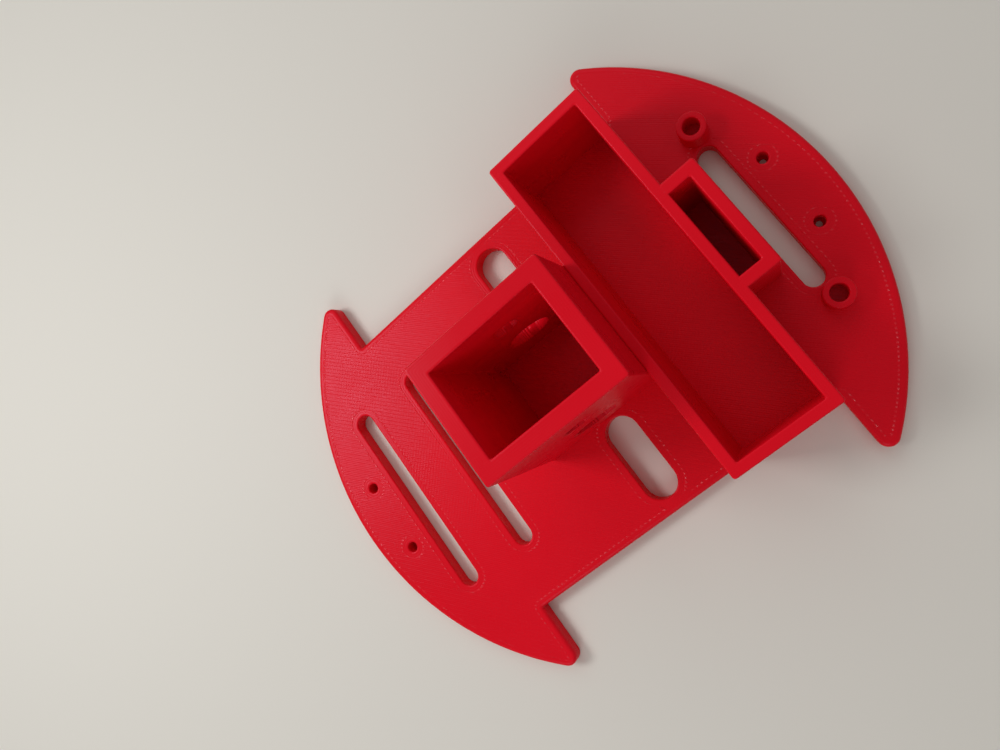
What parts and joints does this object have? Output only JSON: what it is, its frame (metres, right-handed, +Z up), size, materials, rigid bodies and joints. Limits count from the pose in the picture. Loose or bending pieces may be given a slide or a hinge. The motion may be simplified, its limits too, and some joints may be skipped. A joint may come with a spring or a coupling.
{
  "type": "robot chassis deck",
  "caption": "Round printed robot deck with side wheel notches, cross slots, an open battery box, a narrow socket, a rectangular tower with cross holes and screw standoffs.",
  "frame": {"origin": "centre of the deck's underside", "axes": "+X to the front, the end with the socket and the standoffs; +Y to the left; +Z up, away from the surface the deck lies on"},
  "size_m": [0.12, 0.093, 0.0385],
  "materials": {
    "red_print": "printed satin"
  },
  "bodies": {
    "root": {"deck_plate": "red_print", "battery_box": "red_print", "front_socket": "red_print", "tower": "red_print", "standoff_left": "red_print", "standoff_right": "red_print"}
  },
  "joints": []
}
